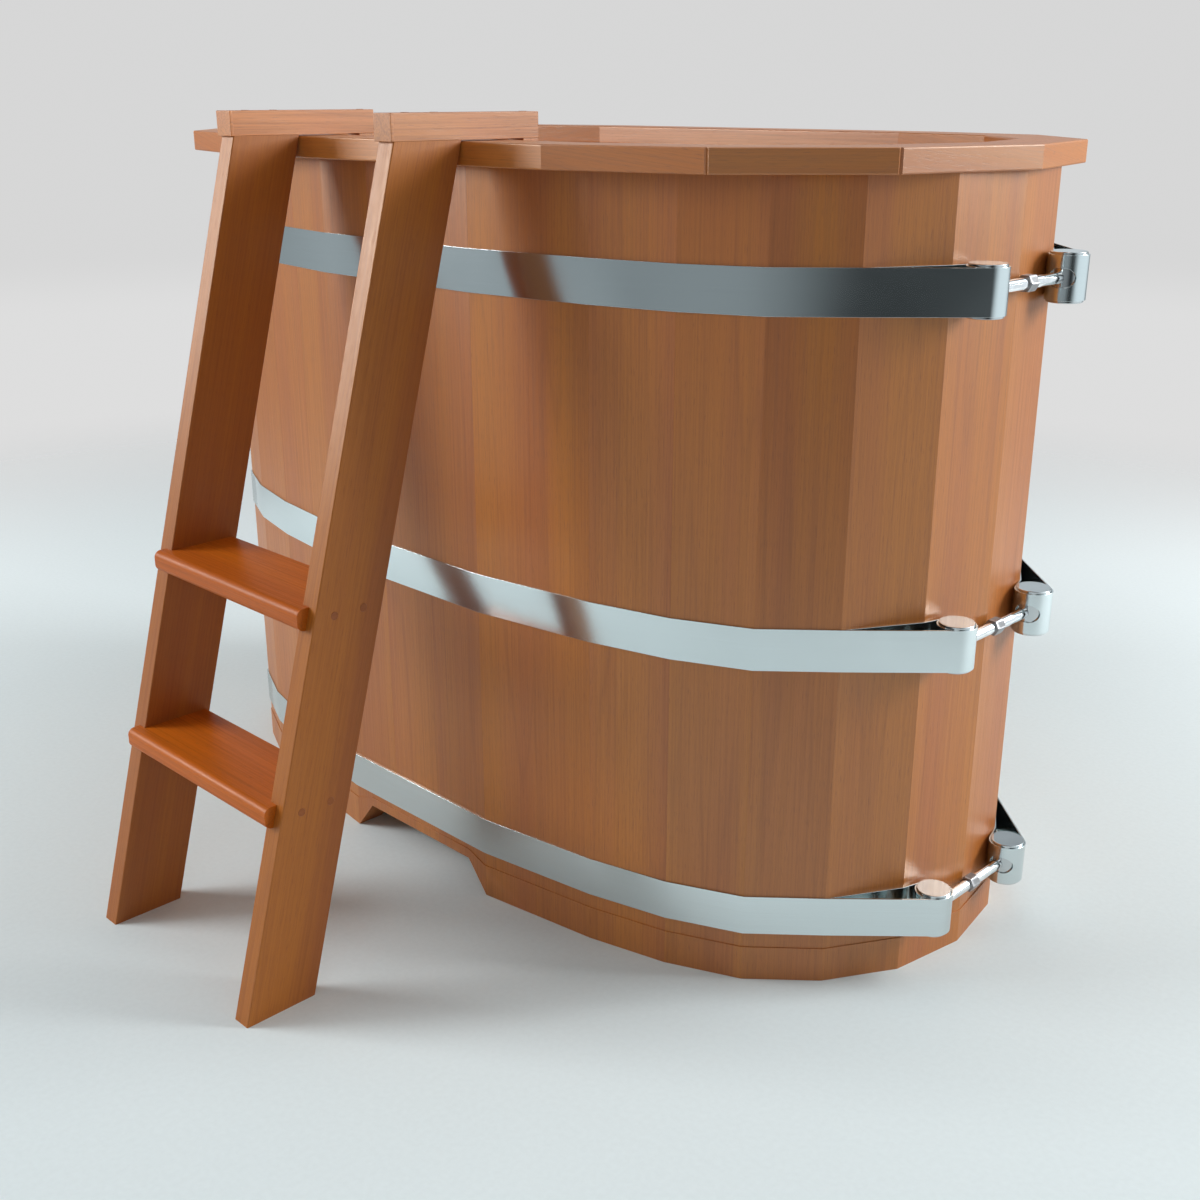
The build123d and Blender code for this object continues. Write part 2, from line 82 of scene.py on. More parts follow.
class Recipe:
    """The node tree of a material or of the room, written as one call for each node."""

    def __init__(self, owner):
        owner.use_nodes = True
        self.owner = owner
        self.tree = owner.node_tree
        self.tree.nodes.clear()

    def node(self, kind, inputs=None, **settings):
        made = self.tree.nodes.new(kind)
        for key, value in settings.items():
            setattr(made, key, value)
        for key, value in (inputs or {}).items():
            if isinstance(value, bpy.types.NodeSocket):
                self.tree.links.new(value, made.inputs[key])
            else:
                made.inputs[key].default_value = value
        return made

    def noise(self, vector, scale, detail=2.0, roughness=0.5, distortion=0.0):
        inputs = {"Vector": vector, "Scale": scale, "Detail": detail}
        inputs |= {"Roughness": roughness, "Distortion": distortion}
        return self.node("ShaderNodeTexNoise", inputs).outputs["Fac"]

    def stretched(self, vector, scale):
        return self.node("ShaderNodeMapping", {"Vector": vector, "Scale": scale}).outputs[0]

    def grey(self, value):
        return self.node("ShaderNodeCombineColor", {0: value, 1: value, 2: value}).outputs[0]

    def fit(self, value, low, high, to_low=0.0, to_high=1.0):
        inputs = {"Value": value, "From Min": low, "From Max": high, "To Min": to_low, "To Max": to_high}
        return self.node("ShaderNodeMapRange", inputs).outputs[0]

    def math(self, operation, a, b=0.0):
        return self.node("ShaderNodeMath", {0: a, 1: b}, operation=operation).outputs[0]

    def blend(self, factor, a, b, blend_type="MIX"):
        made = self.node("ShaderNodeMix", data_type="RGBA", blend_type=blend_type)
        for index, value in ((0, factor), (6, a), (7, b)):
            if isinstance(value, bpy.types.NodeSocket):
                self.tree.links.new(value, made.inputs[index])
            else:
                made.inputs[index].default_value = value if index == 0 else (*value, 1.0)
        return made.outputs[2]

    def shaded(self, colour, lightness):
        """A colour made lighter or darker by a factor."""
        return self.blend(1.0, colour, self.grey(lightness), "MULTIPLY")

    def bump(self, height, distance, strength=1.0):
        inputs = {"Height": height, "Distance": distance, "Strength": strength}
        return self.node("ShaderNodeBump", inputs).outputs[0]

    def finish(self, **inputs):
        named = {key.replace("_", " "): value for key, value in inputs.items()}
        shader = self.node("ShaderNodeBsdfPrincipled")
        for key, value in named.items():
            socket = shader.inputs[key]
            if isinstance(value, bpy.types.NodeSocket):
                self.tree.links.new(value, socket)
            elif isinstance(value, tuple) and len(value) == 3:
                socket.default_value = (*value, 1.0)
            else:
                socket.default_value = value
        self.node("ShaderNodeOutputMaterial", {"Surface": shader.outputs[0]})
        return self.owner


def oiled_wood(name, golden, russet, dark, shine=0.40, gloss=1.0, figure=1.0):
    """Fine straight-grained hardwood. Each board carries its own grain space and tone."""
    r = Recipe(bpy.data.materials.new(name))
    grain = r.node("ShaderNodeAttribute", attribute_name="grain").outputs["Vector"]
    tone = r.node("ShaderNodeAttribute", attribute_name="tone").outputs["Fac"]

    # Broad soft ribbons of golden and russet wood
    ribbons = r.noise(r.stretched(grain, (16, 16, 0.55)), 1.0, 2.0, 0.5, 0.25)
    body = r.blend(r.fit(ribbons, 0.36, 0.64), golden, russet)

    # A few thin growth lines that wander along the board
    wander = r.noise(r.stretched(grain, (13, 13, 0.75)), 1.0, 1.0, 0.5, 0.3)
    nearness = r.math("ABSOLUTE", r.math("SUBTRACT", wander, 0.5))
    body = r.blend(r.fit(nearness, 0.0, 0.016, 0.19 * figure, 0.0), body, dark)

    # Faint streaks and the pores that lie along them
    streaks = r.noise(r.stretched(grain, (430, 430, 5)), 1.0, 3.0, 0.6)
    body = r.blend(r.fit(streaks, 0.40, 0.75, 0.0, 0.34 * figure), body, dark)
    pores = r.noise(r.stretched(grain, (1500, 1500, 60)), 1.0, 1.0)
    open_pores = r.fit(pores, 0.60, 0.72)
    body = r.blend(r.math("MULTIPLY", open_pores, 0.42), body, dark)

    # A little of each board's own lightness
    body = r.shaded(body, r.fit(tone, 0.0, 1.0, 0.92, 1.08))

    relief = r.math("SUBTRACT", r.math("MULTIPLY", streaks, 0.4), open_pores)
    rough = r.fit(streaks, 0.3, 0.7, shine - 0.04, shine + 0.07)
    oil = {"Specular_IOR_Level": gloss, "Specular_Tint": (1.0, 0.93, 0.80)}
    return r.finish(Base_Color=body, Roughness=rough, Normal=r.bump(relief, 0.0001, 0.5), **oil)


def satin_steel(name, colour, rough, blur=0.05):
    """Rolled strap: fine lines along its length and a fine tooth that scatters the light."""
    r = Recipe(bpy.data.materials.new(name))
    place = r.node("ShaderNodeTexCoord").outputs["Object"]
    rolled = r.noise(r.stretched(place, (7, 7, 1400)), 1.0, 2.0, 0.6)
    tooth = r.noise(place, 1500.0, 1.0)
    clouds = r.noise(place, 9.0, 2.0)
    tint = r.blend(r.fit(rolled, 0.3, 0.7, 0.0, 0.16), colour, tuple(0.72 * c for c in colour))
    tint = r.blend(r.fit(clouds, 0.35, 0.7, 0.0, 0.10), tint, tuple(0.8 * c for c in colour))
    roughness = r.fit(clouds, 0.3, 0.7, rough - blur, rough + blur)
    relief = r.math("ADD", r.math("MULTIPLY", rolled, 0.5), tooth)
    marks = r.bump(relief, 0.00003, 0.5)
    return r.finish(Base_Color=tint, Metallic=1.0, Roughness=roughness, Normal=marks)


def polished_steel(name, colour, rough):
    """Turned and polished steel with faint wiped marks."""
    r = Recipe(bpy.data.materials.new(name))
    place = r.node("ShaderNodeTexCoord").outputs["Object"]
    wiped = r.noise(r.stretched(place, (60, 60, 60)), 1.0, 3.0, 0.6)
    turned = r.noise(r.stretched(place, (900, 30, 900)), 1.0, 1.0)
    tint = r.blend(r.fit(wiped, 0.35, 0.7, 0.0, 0.25), colour, tuple(0.82 * c for c in colour))
    roughness = r.fit(wiped, 0.35, 0.7, rough, rough + 0.06)
    marks = r.bump(turned, 0.000008, 0.5)
    return r.finish(Base_Color=tint, Metallic=1.0, Roughness=roughness, Normal=marks)


def rod_and_nut_steel(name, bright, dull):
    """A polished bar, and the brushed flats of its nut where the piece's attribute says so."""
    r = Recipe(bpy.data.materials.new(name))
    place = r.node("ShaderNodeTexCoord").outputs["Object"]
    nut = r.node("ShaderNodeAttribute", attribute_name="nut").outputs["Fac"]
    wiped = r.noise(place, 60.0, 3.0, 0.6)
    brushed = r.noise(r.stretched(place, (300, 2200, 300)), 1.0, 2.0)
    tint = r.blend(nut, bright, dull)
    tint = r.blend(r.fit(wiped, 0.35, 0.7, 0.0, 0.25), tint, tuple(0.8 * c for c in dull))
    fine = r.fit(wiped, 0.35, 0.7, 0.05, 0.11)
    roughness = r.math("ADD", fine, r.math("MULTIPLY", nut, 0.36))
    marks = r.bump(brushed, 0.00002, 0.5)
    return r.finish(Base_Color=tint, Metallic=1.0, Roughness=roughness, Normal=marks)


def black_rubber(name):
    """Moulded rubber with a faint bloom."""
    r = Recipe(bpy.data.materials.new(name))
    place = r.node("ShaderNodeTexCoord").outputs["Object"]
    bloom = r.noise(place, 160.0, 3.0, 0.6)
    skin = r.noise(place, 1800.0, 1.0)
    tint = r.blend(r.fit(bloom, 0.35, 0.7), (0.018, 0.018, 0.020), (0.045, 0.045, 0.048))
    roughness = r.fit(bloom, 0.3, 0.7, 0.48, 0.62)
    return r.finish(Base_Color=tint, Roughness=roughness, Normal=r.bump(skin, 0.00005, 0.5))


GOLDEN = (0.500, 0.163, 0.018)
RUSSET = (0.425, 0.122, 0.023)
DARK = (0.200, 0.045, 0.009)
RIM_GOLDEN = (0.54, 0.172, 0.020)
RIM_RUSSET = (0.46, 0.130, 0.023)

stave_wood = oiled_wood("stave_wood", GOLDEN, RUSSET, DARK, gloss=1.15)
rim_wood = oiled_wood("rim_wood", RIM_GOLDEN, RIM_RUSSET, DARK, gloss=1.5)
floor_wood = oiled_wood("floor_wood", GOLDEN, RUSSET, DARK, shine=0.5)
stringer_wood = oiled_wood("stringer_wood", (0.42, 0.130, 0.013), (0.35, 0.098, 0.016), DARK, gloss=0.6)
tread_wood = oiled_wood("tread_wood", (0.60, 0.145, 0.006), (0.52, 0.115, 0.007), DARK, gloss=0.30)
hook_wood = oiled_wood("hook_wood", RIM_GOLDEN, RIM_RUSSET, DARK, figure=1.6)
plug_wood = oiled_wood("plug_wood", (0.37, 0.100, 0.014), (0.30, 0.075, 0.014), DARK, gloss=0.6)
PALE_BEECH = [(0.60, 0.40, 0.22), (0.52, 0.33, 0.17), (0.36, 0.21, 0.10)]
dowel_wood = oiled_wood("dowel_wood", *PALE_BEECH, shine=0.55, gloss=0.5)
hoop_steel = satin_steel("hoop_steel", (0.70, 0.770, 0.780), 0.15, 0.03)
pin_steel = polished_steel("pin_steel", (0.60, 0.63, 0.64), 0.07)
rod_steel = rod_and_nut_steel("rod_steel", (0.88, 0.89, 0.90), (0.36, 0.36, 0.37))
screw_steel = satin_steel("screw_steel", (0.62, 0.60, 0.56), 0.30)
drain_steel = satin_steel("drain_steel", (0.66, 0.67, 0.68), 0.24)
drain_rubber = black_rubber("drain_rubber")

# Boards


def side_stave_number(point):
    """Which stave of a long side a point lies in, counted along +X."""
    x = point.x - TUB_MIDDLE.x
    y = abs(point.y - TUB_MIDDLE.y)
    number = 0
    for side in (-1, 1):
        for (outer_x, outer_y), (inner_x, inner_y) in SIDE_JOINTS:
            share = (outer_y - y) / (outer_y - inner_y)
            if x > side * (outer_x + share * (inner_x - outer_x)):
                number += 1
    return number


def floor_board_number(point):
    width = 2 * FLOOR_HALF_WIDTH / FLOOR_BOARDS
    return int((point.y - TUB_MIDDLE.y + FLOOR_HALF_WIDTH) // width)


def half_number(point):
    return int(point.x > TUB_MIDDLE.x)


MERGE_DISTANCE = 0.000002
INSIDE_FACE = 0.0005
SHARP_EDGE = math.radians(28)
CREASE = math.radians(55)


def parted(node, number_of):
    """The CAD node's triangles, grouped by the board that each belongs to and merged into closed shells."""
    source = frame["nodes"][node].data
    groups = {}
    for face in source.polygons:
        number = number_of(face.center - INSIDE_FACE * face.normal) if number_of else 0
        groups.setdefault(number, []).append([source.vertices[i].co.copy() for i in face.vertices])
    shells = []
    for number in sorted(groups):
        shell = bmesh.new()
        for corners in groups[number]:
            shell.faces.new([shell.verts.new(corner) for corner in corners])
        bmesh.ops.remove_doubles(shell, verts=shell.verts, dist=MERGE_DISTANCE)
        bmesh.ops.dissolve_degenerate(shell, edges=shell.edges, dist=MERGE_DISTANCE)
        shells.append(shell)
    return shells


def board_axes(shell, along):
    """Unit vectors across, through and along a board; the longest edge tells where none is given."""
    if along is None:
        longest = max(shell.edges, key=lambda edge: edge.calc_length())
        along = longest.verts[1].co - longest.verts[0].co
    along = along.normalized()
    sides = [face for face in shell.faces if abs(face.normal.dot(along)) < 0.05]
    through = max(sides, key=lambda face: face.calc_area()).normal.copy()
    across = through.cross(along).normalized()
    return across, through, along


def eased(shell, width):
    """Every sharp edge broken, as a pass of sandpaper or a fine file leaves it."""
    outer = [edge for edge in shell.edges if edge.is_manifold and edge.is_convex]
    sharp = [edge for edge in outer if edge.calc_face_angle() > SHARP_EDGE]
    how = {"segments": 2, "profile": 0.5, "affect": "EDGES", "clamp_overlap": True}
    bmesh.ops.bevel(shell, geom=sharp, offset=width, **how)


def without_large_faces(shell):
    """The shell with every face of more than four corners cut into triangles."""
    large = [face for face in shell.faces if len(face.verts) > 4]
    bmesh.ops.triangulate(shell, faces=large)


def baked(carrier):
    """The mesh that an object's modifiers make, with the object itself cleared away."""
    evaluated = carrier.evaluated_get(bpy.context.evaluated_depsgraph_get())
    result = bpy.data.meshes.new_from_object(evaluated)
    bpy.data.objects.remove(carrier)
    return result


def smooth_normals(mesh):
    """Normals that follow the large faces, so that flats look flat and broken edges catch the light."""
    mesh.set_sharp_from_angle(angle=CREASE)
    carrier = bpy.data.objects.new("carrier", mesh)
    bpy.context.scene.collection.objects.link(carrier)
    mesh.polygons.foreach_set("use_smooth", [True] * len(mesh.polygons))
    weighted = carrier.modifiers.new("weighted", "WEIGHTED_NORMAL")
    weighted.mode = "FACE_AREA"
    weighted.weight = 80
    weighted.keep_sharp = True
    return baked(carrier)


def dressed_boards(node, body, material, edge, along=None, number_of=None):
    """A wooden node again, with eased edges, and the grain space and tone of each of its boards."""
    whole = bmesh.new()
    grain_layer = whole.verts.layers.float_vector.new("grain")
    tone_layer = whole.verts.layers.float.new("tone")
    for number, shell in enumerate(parted(node, number_of)):
        axes = Matrix(board_axes(shell, along))
        eased(shell, edge)
        chance = random.Random(f"{node} {number}")
        offset = Vector([chance.uniform(-9, 9) for axis in range(3)])
        tone = chance.random()
        copies = {}
        for vert in shell.verts:
            copy = whole.verts.new(vert.co)
            copy[grain_layer] = axes @ vert.co + offset
            copy[tone_layer] = tone
            copies[vert] = copy
        for face in shell.faces:
            whole.faces.new([copies[vert] for vert in face.verts])
        shell.free()
    without_large_faces(whole)
    mesh = bpy.data.meshes.new(f"{node}_wood")
    whole.to_mesh(mesh)
    whole.free()
    return mesh_object(f"{node}_wood", smooth_normals(mesh), body, material, [node])


bodies = frame["record"]["behaviour"]["bodies"]
for node in bodies["tub"]:
    if node.startswith("stave_"):
        dressed_boards(node, "tub", stave_wood, 0.0002, UP)
    elif node.startswith("side_staves"):
        dressed_boards(node, "tub", stave_wood, 0.0002, UP, side_stave_number)
    elif node.startswith("rim_") and node != "rim_dowels":
        dressed_boards(node, "tub", rim_wood, 0.0003)
LENGTHWISE = Vector((1, 0, 0))
CROSSWISE = Vector((0, 1, 0))
dressed_boards("floor_boards", "tub", floor_wood, 0.0008, LENGTHWISE, floor_board_number)
dressed_boards("floor_battens", "tub", floor_wood, 0.0010, CROSSWISE, half_number)

STRINGER_RUN = Vector((0, 0.2768, 1))
for side in ("left", "right"):
    stringer = f"ladder_stringer_{side}"
    dressed_boards(stringer, "ladder", stringer_wood, 0.0006, STRINGER_RUN)
    dressed_boards(f"hook_arm_{side}", "ladder", hook_wood, 0.0005, CROSSWISE)
for level in ("lower", "upper"):
    dressed_boards(f"ladder_tread_{level}", "ladder", tread_wood, 0.0006, LENGTHWISE)
dressed_boards("hook_teeth", "ladder", hook_wood, 0.0010, UP, half_number)


def dressed_metal(node, body, material, edge):
    """A steel node again, with its sharp edges broken."""
    whole = bmesh.new()
    for shell in parted(node, None):
        eased(shell, edge)
        piece = bpy.data.meshes.new("shell")
        without_large_faces(shell)
        shell.to_mesh(piece)
        shell.free()
        whole.from_mesh(piece)
        bpy.data.meshes.remove(piece)
    mesh = bpy.data.meshes.new(f"{node}_steel")
    whole.to_mesh(mesh)
    whole.free()
    return mesh_object(f"{node}_steel", smooth_normals(mesh), body, material, [node])


for level in HOOP_MIDDLES:
    dressed_metal(f"hoop_{level}", "tub", hoop_steel, 0.0003)

# Repeated pieces


class Tree:
    """A Geometry Nodes tree with named sizes, written as one call for each node."""

    def __init__(self, name, **sizes):
        self.tree = bpy.data.node_groups.new(name, "GeometryNodeTree")
        face = self.tree.interface
        face.new_socket("Geometry", in_out="INPUT", socket_type="NodeSocketGeometry")
        face.new_socket("Geometry", in_out="OUTPUT", socket_type="NodeSocketGeometry")
        self.values = {}
        for key, value in sizes.items():
            socket = face.new_socket(key, in_out="INPUT", socket_type="NodeSocketFloat")
            self.values[socket.identifier] = value
        self.size = self.tree.nodes.new("NodeGroupInput").outputs

    def node(self, kind, inputs=None, output=0, **settings):
        made = self.tree.nodes.new(kind)
        for key, value in settings.items():
            setattr(made, key, value)
        for key, values in (inputs or {}).items():
            for value in values if isinstance(values, list) else [values]:
                if isinstance(value, bpy.types.NodeSocket):
                    self.tree.links.new(value, made.inputs[key])
                else:
                    made.inputs[key].default_value = value
        return made.outputs[output]

    def math(self, operation, a, b=0.0):
        return self.node("ShaderNodeMath", {0: a, 1: b}, operation=operation)

    def vector(self, x=0.0, y=0.0, z=0.0):
        return self.node("ShaderNodeCombineXYZ", {0: x, 1: y, 2: z})

    def swept(self, line, radius, sides):
        ring = self.node("GeometryNodeCurvePrimitiveCircle", {"Resolution": sides, "Radius": 1.0})
        inputs = {"Curve": line, "Profile Curve": ring, "Scale": radius, "Fill Caps": True}
        return self.node("GeometryNodeCurveToMesh", inputs)

    def bar(self, radius, half_length, sides):
        """A straight bar along Z about its own middle."""
        below = self.vector(z=self.math("MULTIPLY", half_length, -1.0))
        ends = {"Start": below, "End": self.vector(z=half_length)}
        return self.swept(self.node("GeometryNodeCurvePrimitiveLine", ends), radius, sides)

    def turned(self, radius, half_length, bevel, sides):
        """A round bar along Z about its own middle, with bevelled ends."""
        outward = self.math("SUBTRACT", self.node("GeometryNodeInputIndex"), 1.5)
        at_bevel = self.math("LESS_THAN", self.math("ABSOLUTE", outward), 1.0)
        at_end = self.math("SUBTRACT", 1.0, at_bevel)
        reach = self.math("SUBTRACT", half_length, self.math("MULTIPLY", bevel, at_bevel))
        height = self.math("MULTIPLY", reach, self.math("SIGN", outward))
        four = self.node("GeometryNodeMeshLine", {"Count": 4})
        four = self.node("GeometryNodeSetPosition", {"Geometry": four, "Position": self.vector(z=height)})
        line = self.node("GeometryNodeMeshToCurve", {"Mesh": four})
        return self.swept(line, self.math("SUBTRACT", radius, self.math("MULTIPLY", bevel, at_end)), sides)

    def moved(self, geometry, translation=(0, 0, 0), rotation=(0, 0, 0)):
        inputs = {"Geometry": geometry, "Translation": translation, "Rotation": rotation}
        return self.node("GeometryNodeTransform", inputs)

    def attribute(self, name, kind="FLOAT_VECTOR"):
        return self.node("GeometryNodeInputNamedAttribute", {"Name": name}, data_type=kind)

    def stored(self, geometry, name, value, kind="FLOAT_VECTOR", domain="POINT"):
        inputs = {"Geometry": geometry, "Name": name, "Value": value}
        return self.node("GeometryNodeStoreNamedAttribute", inputs, data_type=kind, domain=domain)

    def finish(self, geometry, material, places=None):
        """The tree's result as one plain mesh; with places, a real copy of the geometry in each of them."""
        if places:
            inputs = {"Points": self.size["Geometry"], "Instance": geometry}
            inputs["Rotation"] = self.attribute("turn", "QUATERNION")
            geometry = self.node("GeometryNodeInstanceOnPoints", inputs)
            chance = {0: (-9, -9, -9), 1: (9, 9, 9), "Seed": 4}
            shift = self.node("FunctionNodeRandomValue", chance, data_type="FLOAT_VECTOR")
            geometry = self.stored(geometry, "shift", shift, domain="INSTANCE")
            geometry = self.node("GeometryNodeRealizeInstances", {"Geometry": geometry})
            terms = {0: self.attribute("grain"), 1: self.attribute("shift")}
            grain = self.node("ShaderNodeVectorMath", terms, operation="ADD")
            geometry = self.stored(geometry, "grain", grain)
        else:
            geometry = self.node("GeometryNodeRealizeInstances", {"Geometry": geometry})
        geometry = self.node("GeometryNodeSetMaterial", {"Geometry": geometry, "Material": material})
        self.tree.links.new(geometry, self.tree.nodes.new("NodeGroupOutput").inputs[0])

        spots = bpy.data.meshes.new("spots")
        spots.from_pydata([place for place, turn in places or [((0, 0, 0), None)]], [], [])
        if places:
            turns = spots.attributes.new("turn", "QUATERNION", "POINT")
            for point, (place, turn) in enumerate(places):
                turns.data[point].value = turn
        carrier = bpy.data.objects.new("carrier", spots)
        bpy.context.scene.collection.objects.link(carrier)
        grower = carrier.modifiers.new("grower", "NODES")
        grower.node_group = self.tree
        for identifier, value in self.values.items():
            grower[identifier] = value
        return baked(carrier)


def turn_to(direction):
    """Rotation that brings +Z round to a direction."""
    return Vector(direction).to_track_quat("Z", "Y")


QUARTER = math.radians(90)

# Clamp pins: a polished roll in each loop, bored across for the end of its rod
PAST_PIN = 0.03
pins = Tree("clamp_pin", Radius=0.0213, HalfLength=0.029, Bevel=0.0010, Bore=0.00705, BoreFloor=0.012)
roll = pins.turned(pins.size["Radius"], pins.size["HalfLength"], pins.size["Bevel"], 128)
bore_half = pins.math("MULTIPLY", pins.math("ADD", pins.size["BoreFloor"], PAST_PIN), 0.5)
bore = pins.bar(pins.size["Bore"], bore_half, 40)
bore_middle = pins.vector(y=pins.math("SUBTRACT", bore_half, pins.size["BoreFloor"]))
inputs = {"Mesh 1": roll, "Mesh 2": pins.moved(bore, bore_middle, (QUARTER, 0, 0))}
roll = pins.node("GeometryNodeMeshBoolean", inputs, operation="DIFFERENCE", solver="EXACT")
pin_places = []
for middle in HOOP_MIDDLES.values():
    for side in (-1, 1):
        turn = Matrix.Rotation(math.pi if side > 0 else 0, 4, "Z").to_quaternion()
        pin_places.append(((CLAMP_X, TUB_MIDDLE.y + side * PIN_SPACING / 2, middle), turn))
mesh = smooth_normals(pins.finish(roll, pin_steel, pin_places))
mesh_object("clamp_pins_steel", mesh, "tub", pin_steel, ["clamp_pins"])

# Tension rods: a plain bar with a hexagon nut round its middle, the nut's corners turned off
ROD_SIZES = {"Radius": 0.007, "HalfLength": 0.0985, "Bevel": 0.0008}
NUT_SIZES = {"NutRadius": 0.0103923, "NutHalfLength": 0.0085, "NutBevel": 0.0011}
for level, middle in HOOP_MIDDLES.items():
    rod = Tree("tension_rod", **ROD_SIZES, **NUT_SIZES)
    bar = rod.turned(rod.size["Radius"], rod.size["HalfLength"], rod.size["Bevel"], 64)
    hexagon = rod.bar(rod.size["NutRadius"], rod.size["NutHalfLength"], 6)
    rounding = rod.turned(rod.size["NutRadius"], rod.size["NutHalfLength"], rod.size["NutBevel"], 96)
    shared = {"operation": "INTERSECT", "solver": "EXACT"}
    nut = rod.node("GeometryNodeMeshBoolean", {"Mesh 2": [hexagon, rounding]}, **shared)
    nut = rod.stored(nut, "nut", 1.0, "FLOAT")
    both = rod.node("GeometryNodeJoinGeometry", {"Geometry": [bar, nut]})
    placed = rod.moved(both, (CLAMP_X, TUB_MIDDLE.y, middle), (QUARTER, 0, 0))
    mesh = smooth_normals(rod.finish(placed, rod_steel))
    body = f"tension_rod_{level}"
    mesh_object(f"{body}_steel", mesh, body, rod_steel, [body])

# Plugs over the ladder's screws: a short cross-cut button, a little proud, in every hole
LADDER_HALF_WIDTH = 0.175
ARM_TOP = 1.0315
TREAD_SCREWS = [(0.2515, -0.642885), (0.4815, -0.579221)]
ARM_SCREWS = [-0.4562, -0.4152, -0.2805]
PLUG_SINK = 0.0028
plug_places = []
for side in (-1, 1):
    for height, front in TREAD_SCREWS:
        for step in (-0.0205, 0.0205):
            place = Vector((side * (LADDER_HALF_WIDTH - PLUG_SINK), front + step, height))
            plug_places.append((place + TUB_MIDDLE, turn_to((side, 0, 0))))
    for y in ARM_SCREWS:
        plug_places.append((Vector((side * 0.16125, y, ARM_TOP - PLUG_SINK)) + TUB_MIDDLE, turn_to(UP)))
plugs = Tree("ladder_plug", Radius=0.005, HalfLength=0.0032, Bevel=0.0004)
button = plugs.turned(plugs.size["Radius"], plugs.size["HalfLength"], plugs.size["Bevel"], 48)
where = plugs.node("ShaderNodeSeparateXYZ", {0: plugs.node("GeometryNodeInputPosition")}).node.outputs
button = plugs.stored(button, "grain", plugs.vector(where[1], where[2], where[0]))
mesh = smooth_normals(plugs.finish(button, plug_wood, plug_places))
mesh_object("ladder_plugs_wood", mesh, "ladder", plug_wood, ["ladder_plugs"])

KEPT_NODES = {
    "rim_dowels": dowel_wood,
    "ladder_screws": screw_steel,
    "drain_outlet": drain_steel,
    "drain_nut": drain_steel,
    "drain_gasket": drain_rubber,
    "drain_plug": drain_rubber,
}
for node, material in KEPT_NODES.items():
    kept = frame["nodes"][node]
    kept.data.materials.clear()
    kept.data.materials.append(material)

# Stage

FLOOR_RADIUS = 9.0
floor_mesh = bpy.data.meshes.new("floor")
FLOOR_SIDES = 64
turns = [math.tau * side / FLOOR_SIDES for side in range(FLOOR_SIDES)]
around = [Vector((math.cos(turn), math.sin(turn), 0)) * FLOOR_RADIUS for turn in turns]
floor_mesh.from_pydata(around, [], [list(range(FLOOR_SIDES))])
floor = bpy.data.objects.new("floor", floor_mesh)
bpy.context.scene.collection.objects.link(floor)

# The floor's colour grows lighter away from the tub: painted light that makes up for the lamps' light
# falling off with distance
FLOOR_NEAR = (0.755, 0.850, 0.872)
FLOOR_FAR_PAINTED_LIGHT = (0.90, 0.965, 0.980)
pale = Recipe(bpy.data.materials.new("pale_floor"))
place = pale.node("ShaderNodeTexCoord").outputs["Object"]
away = pale.node("ShaderNodeVectorMath", {0: place}, operation="LENGTH").outputs["Value"]
mottle = pale.fit(pale.noise(place, 140.0, 2.0), 0.3, 0.7, 0.985, 1.015)
# Painted light: the floor's tint lightens from the near colour to the far one with distance from the tub
tint = pale.shaded(pale.blend(pale.fit(away, 1.1, 2.6), FLOOR_NEAR, FLOOR_FAR_PAINTED_LIGHT), mottle)
matt = pale.node("ShaderNodeBsdfDiffuse", {"Color": tint})
clear = pale.node("ShaderNodeBsdfTransparent")
reach = {"Value": away, "From Min": 1.7, "From Max": 3.4}
fade = pale.node("ShaderNodeMapRange", reach, interpolation_type="SMOOTHSTEP").outputs[0]
faded = pale.node("ShaderNodeMixShader", {0: fade, 1: matt.outputs[0], 2: clear.outputs[0]})
pale.node("ShaderNodeOutputMaterial", {"Surface": faded.outputs[0]})
floor_mesh.materials.append(pale.owner)

# The room: pale all round for the camera; steel and oil see the backdrop behind
# the tub, glows at the left, the front and the right, a bright one high on the
# right, and dim air elsewhere
AMBIENT = 0.165
PALE = 0.677
PALE_BELOW = 0.728
DIM = 0.045
MIRRORED = [
    ((-0.709, 0.705, 0), 0.68, 0.93, 0.677),
    ((-0.743, -0.669, 0), 0.45, 1.10, 0.42),
    ((0.087, -0.996, 0), 0.70, 1.00, 0.30),
    ((0.820, 0.572, 0), 0.35, 0.95, 0.95),
    ((0.272, 0.583, 0.766), 0.848, 0.914, 2.0),
]
BLUISH = (0.93, 1.02, 1.07)
world = bpy.data.worlds.new("studio")
bpy.context.scene.world = world
room = Recipe(world)
direction = room.node("ShaderNodeTexCoord").outputs["Generated"]


def facing(way, start, full, low, high):
    """Brightness that goes from low to high as a direction turns towards one way."""
    product = room.node("ShaderNodeVectorMath", {0: direction, 1: way}, operation="DOT_PRODUCT")
    inputs = {"Value": product.outputs["Value"], "From Min": start, "From Max": full}
    inputs |= {"To Min": low, "To Max": high}
    return room.node("ShaderNodeMapRange", inputs, interpolation_type="SMOOTHSTEP").outputs[0]


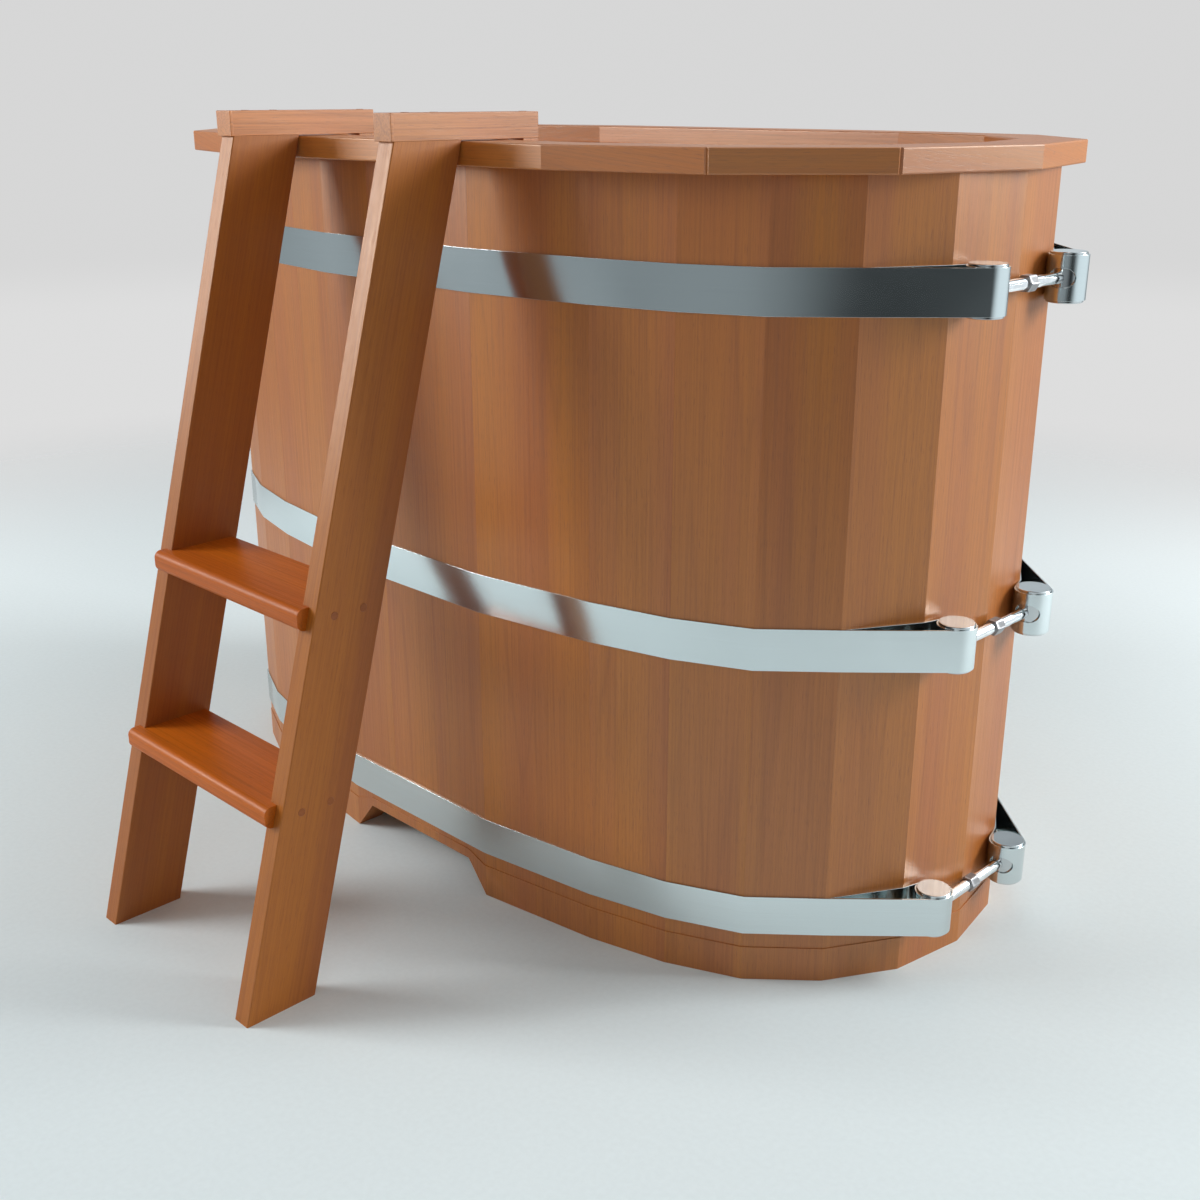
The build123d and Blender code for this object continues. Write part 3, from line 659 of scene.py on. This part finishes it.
mirrored = 0.0
for way, start, full, brightness in MIRRORED:
    mirrored = room.math("MAXIMUM", mirrored, facing(way, start, full, DIM, brightness))
mirrored = room.blend(1.0, room.grey(mirrored), BLUISH, "MULTIPLY")
behind = room.grey(facing((0, 0, -1), 0.095, 0.135, PALE, PALE_BELOW))
rays = room.node("ShaderNodeLightPath").outputs
shown = room.blend(rays["Is Camera Ray"], mirrored, behind)
mirror_rays = room.math("MAXIMUM", rays["Is Glossy Ray"], rays["Is Transmission Ray"])
seen = room.math("MAXIMUM", rays["Is Camera Ray"], mirror_rays)
dark = room.node("ShaderNodeBackground", {"Color": (1, 1, 1, 1), "Strength": AMBIENT})
backdrop = room.node("ShaderNodeBackground", {"Color": shown, "Strength": 1.0})
either = room.node("ShaderNodeMixShader", {0: seen, 1: dark.outputs[0], 2: backdrop.outputs[0]})
room.node("ShaderNodeOutputWorld", {"Surface": either.outputs[0]})


def softbox(name, azimuth, elevation, distance, size, power, aim=(0, 0.1, 0.45)):
    """A square area lamp. Azimuth 0 is the +X side and 90 the far side, in degrees."""
    lamp = bpy.data.lights.new(name, "AREA")
    lamp.shape = "SQUARE"
    lamp.size = size
    lamp.energy = power
    holder = bpy.data.objects.new(name, lamp)
    a, e = math.radians(azimuth), math.radians(elevation)
    out = Vector((math.cos(a) * math.cos(e), math.sin(a) * math.cos(e), math.sin(e)))
    holder.location = Vector(aim) + distance * out
    holder.rotation_mode = "QUATERNION"
    holder.rotation_quaternion = out.to_track_quat("Z", "Y")
    bpy.context.scene.collection.objects.link(holder)


softbox("left_softbox", 225, 21, 4.0, 1.4, 88)
softbox("left_high_softbox", 228, 50, 4.0, 1.6, 20)
softbox("right_softbox", 41, 22, 4.0, 1.4, 108)
softbox("right_high_softbox", 54, 40, 4.0, 1.6, 22)
softbox("front_fill", 310, 26, 4.0, 2.0, 13)
softbox("overhead", 100, 85, 3.4, 1.6, 12)

camera_data = bpy.data.cameras.new("camera")
camera_data.sensor_width = 36.0
camera_data.lens = 43.262
camera_data.clip_start = 0.05
camera_data.clip_end = 60.0
camera = bpy.data.objects.new("camera", camera_data)
camera.location = (1.48635, -1.30865, 1.0509)
camera.rotation_euler = (math.radians(90 - 19.34), 0, math.radians(44.78))
bpy.context.scene.collection.objects.link(camera)
bpy.context.scene.camera = camera
bpy.context.scene.view_settings.view_transform = "Standard"
